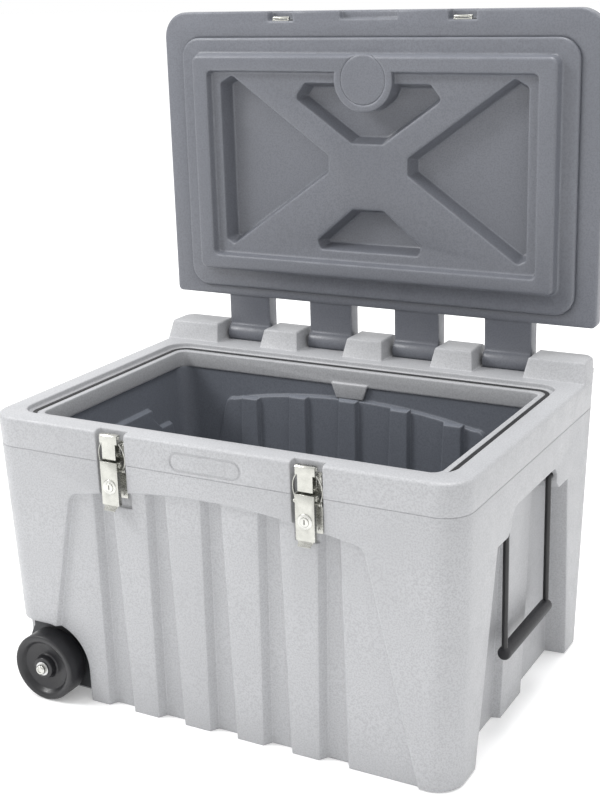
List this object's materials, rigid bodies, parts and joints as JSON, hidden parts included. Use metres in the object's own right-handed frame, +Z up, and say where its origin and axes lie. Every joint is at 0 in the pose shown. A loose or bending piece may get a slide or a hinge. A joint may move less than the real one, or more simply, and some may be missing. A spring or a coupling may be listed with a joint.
{
  "type": "wheeled cooler box",
  "caption": "Insulated cooler box with ribbed walls, hinged lid standing open, keyed toggle latches, bail handles on the ends and wheels at one end.",
  "frame": {"origin": "on the ground under the middle of the tub", "axes": "+X along the front towards the end without wheels, -Y out of the front with the latches, +Z up"},
  "size_m": [0.77, 0.6118, 1.015],
  "materials": {
    "shell_plastic": "satin",
    "lid_plastic": "satin",
    "liner_plastic": "satin",
    "foam": "matte",
    "gasket_rubber": "matte",
    "steel_rod": "satin",
    "latch_steel": "polished",
    "lock_steel": "polished",
    "bail_black": "satin",
    "grip_rubber": "matte",
    "wheel_plastic": "satin",
    "well_plastic": "matte",
    "bushing_plastic": "satin"
  },
  "bodies": {
    "cooler_body": {"outer_shell": "shell_plastic", "body_foam": "foam", "inner_liner": "liner_plastic", "rim_gasket": "gasket_rubber", "hinge_rod": "steel_rod", "wheel_axle": "steel_rod", "wheel_washer_front": "steel_rod", "wheel_spacer_front": "bushing_plastic", "wheel_washer_back": "steel_rod", "wheel_spacer_back": "bushing_plastic", "axle_nut_front": "lock_steel", "axle_nut_back": "lock_steel", "wheel_well_plate_front": "well_plastic", "wheel_well_plate_back": "well_plastic", "latch_base_left": "latch_steel", "latch_base_screws_left": "latch_steel", "latch_lever_pin_left": "latch_steel", "latch_base_right": "latch_steel", "latch_base_screws_right": "latch_steel", "latch_lever_pin_right": "latch_steel"},
    "lid": {"lid_outer_shell": "lid_plastic", "lid_inner_shell": "lid_plastic", "lid_foam": "foam", "lid_filler_cap": "lid_plastic", "lid_keeper_left": "latch_steel", "lid_keeper_screws_left": "latch_steel", "lid_keeper_right": "latch_steel", "lid_keeper_screws_right": "latch_steel"},
    "lever_left": {"latch_lever_left": "latch_steel", "latch_cross_pin_left": "latch_steel", "latch_lock_collar_left": "lock_steel"},
    "lock_left": {"latch_lock_barrel_left": "lock_steel"},
    "hook_left": {"latch_hook_left": "latch_steel", "latch_hook_wires_left": "latch_steel"},
    "lever_right": {"latch_lever_right": "latch_steel", "latch_cross_pin_right": "latch_steel", "latch_lock_collar_right": "lock_steel"},
    "lock_right": {"latch_lock_barrel_right": "lock_steel"},
    "hook_right": {"latch_hook_right": "latch_steel", "latch_hook_wires_right": "latch_steel"},
    "handle_left": {"handle_bail_left": "bail_black", "handle_grip_left": "grip_rubber"},
    "handle_right": {"handle_bail_right": "bail_black", "handle_grip_right": "grip_rubber"},
    "wheel_unit_front": {"wheel_front": "wheel_plastic", "wheel_bushing_front": "bushing_plastic"},
    "wheel_unit_back": {"wheel_back": "wheel_plastic", "wheel_bushing_back": "bushing_plastic"}
  },
  "joints": [
    {"name": "lid_hinge", "type": "hinge", "parent": "cooler_body", "child": "lid", "pos_m": [0, 0.262, 0.464], "axis": [1, 0, 0], "range_deg": [0, 90]},
    {"name": "lever_left_pivot", "type": "hinge", "parent": "cooler_body", "child": "lever_left", "pos_m": [-0.16, -0.281, 0.407], "axis": [-1, 0, 0], "range_deg": [0, 110]},
    {"name": "hook_left_pivot", "type": "hinge", "parent": "lever_left", "child": "hook_left", "pos_m": [-0.16, -0.278, 0.398], "axis": [-1, 0, 0], "range_deg": [-110, 0]},
    {"name": "lock_left_turn", "type": "hinge", "parent": "lever_left", "child": "lock_left", "pos_m": [-0.16, -0.288, 0.374], "axis": [0, -1, 0], "range_deg": [0, 90]},
    {"name": "lever_right_pivot", "type": "hinge", "parent": "cooler_body", "child": "lever_right", "pos_m": [0.16, -0.281, 0.407], "axis": [-1, 0, 0], "range_deg": [0, 110]},
    {"name": "hook_right_pivot", "type": "hinge", "parent": "lever_right", "child": "hook_right", "pos_m": [0.16, -0.278, 0.398], "axis": [-1, 0, 0], "range_deg": [-110, 0]},
    {"name": "lock_right_turn", "type": "hinge", "parent": "lever_right", "child": "lock_right", "pos_m": [0.16, -0.288, 0.374], "axis": [0, -1, 0], "range_deg": [0, 90]},
    {"name": "handle_left_swing", "type": "hinge", "parent": "cooler_body", "child": "handle_left", "pos_m": [-0.37, 0, 0.345], "axis": [0, 1, 0], "range_deg": [-1, 95]},
    {"name": "handle_right_swing", "type": "hinge", "parent": "cooler_body", "child": "handle_right", "pos_m": [0.37, 0, 0.345], "axis": [0, -1, 0], "range_deg": [-1, 95]},
    {"name": "wheel_front_spin", "type": "hinge", "parent": "cooler_body", "child": "wheel_unit_front", "pos_m": [-0.308, -0.277, 0.054], "axis": [0, 1, 0], "continuous": true},
    {"name": "wheel_back_spin", "type": "hinge", "parent": "cooler_body", "child": "wheel_unit_back", "pos_m": [-0.308, 0.277, 0.054], "axis": [0, 1, 0], "continuous": true}
  ],
  "couplings": [
    {"joint": "hook_left_pivot", "follows": "lever_left_pivot", "ratio": -1},
    {"joint": "hook_right_pivot", "follows": "lever_right_pivot", "ratio": -1}
  ]
}
